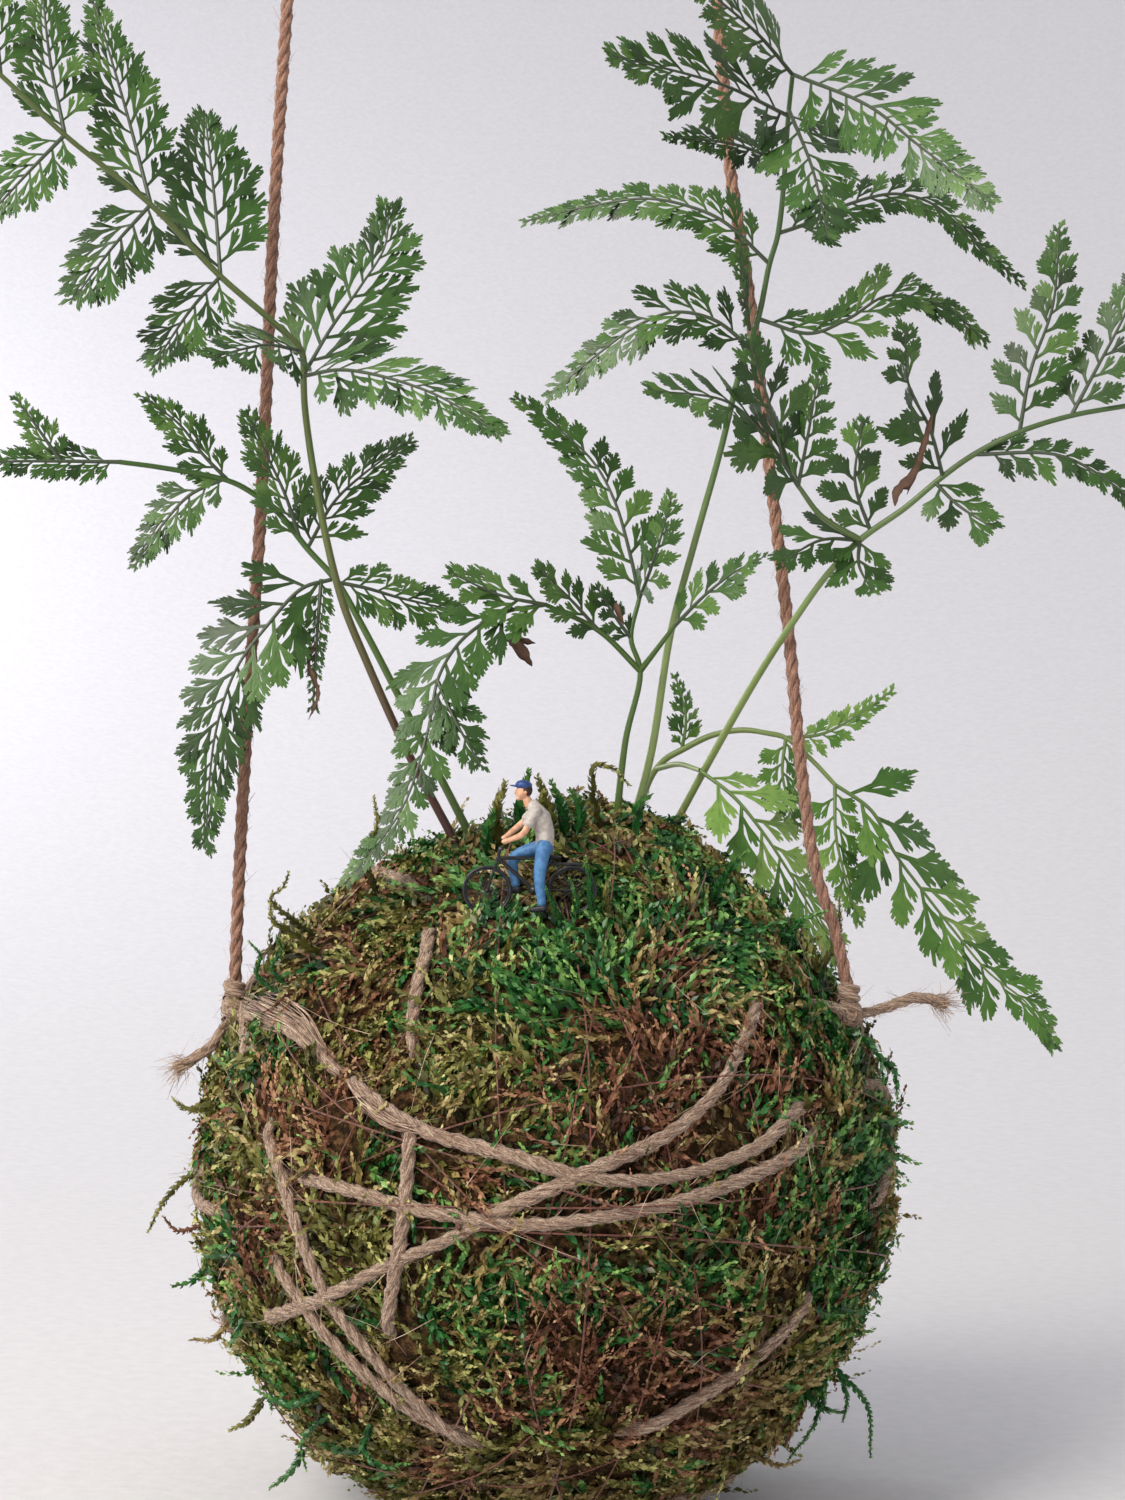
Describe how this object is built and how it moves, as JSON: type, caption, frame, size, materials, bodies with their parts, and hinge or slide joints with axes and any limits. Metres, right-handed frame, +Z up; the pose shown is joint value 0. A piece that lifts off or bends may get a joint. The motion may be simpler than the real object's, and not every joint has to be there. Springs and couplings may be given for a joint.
{
  "type": "kokedama moss ball plant",
  "caption": "Ball of soil wrapped in moss and bound with jute twine, with fern fronds growing from its top, a miniature cyclist on the moss, and hanging twines that end in tied loops.",
  "frame": {"origin": "middle of the small flat spot that the ball rests on", "axes": "+Z up; -Y is the front, where the cyclist stands; +X is to the right seen from the front"},
  "size_m": [0.1787, 0.1105, 0.242],
  "materials": {
    "soil": "damp soil mix, hidden by the moss",
    "moss": "living sheet moss, matte, in greens and browns",
    "thread": "fine red-brown thread, matte",
    "twine": "three-ply jute twine, matte and hairy",
    "fern": "fern leaf, satin, paler and greyer below",
    "fern_pale": "young fern leaf, satin",
    "bicycle_paint": "black paint, satin",
    "rider_paint": "hand-painted blue trousers, grey shirt, navy cap, skin and dark shoes, satin"
  },
  "bodies": {
    "root": {"soil_core": "soil", "moss_layer": "moss", "binding_thread": "thread", "twine_wrap": "twine", "hanging_twine_left": "twine", "hanging_twine_right": "twine", "top_loop_left": "twine", "top_loop_right": "twine", "frond_upper_left": "fern", "frond_left": "fern", "frond_middle": "fern", "frond_tall": "fern", "frond_right": "fern", "frond_low_right": "fern_pale", "figurine_bicycle": "bicycle_paint", "figurine_rider": "rider_paint"}
  },
  "joints": []
}
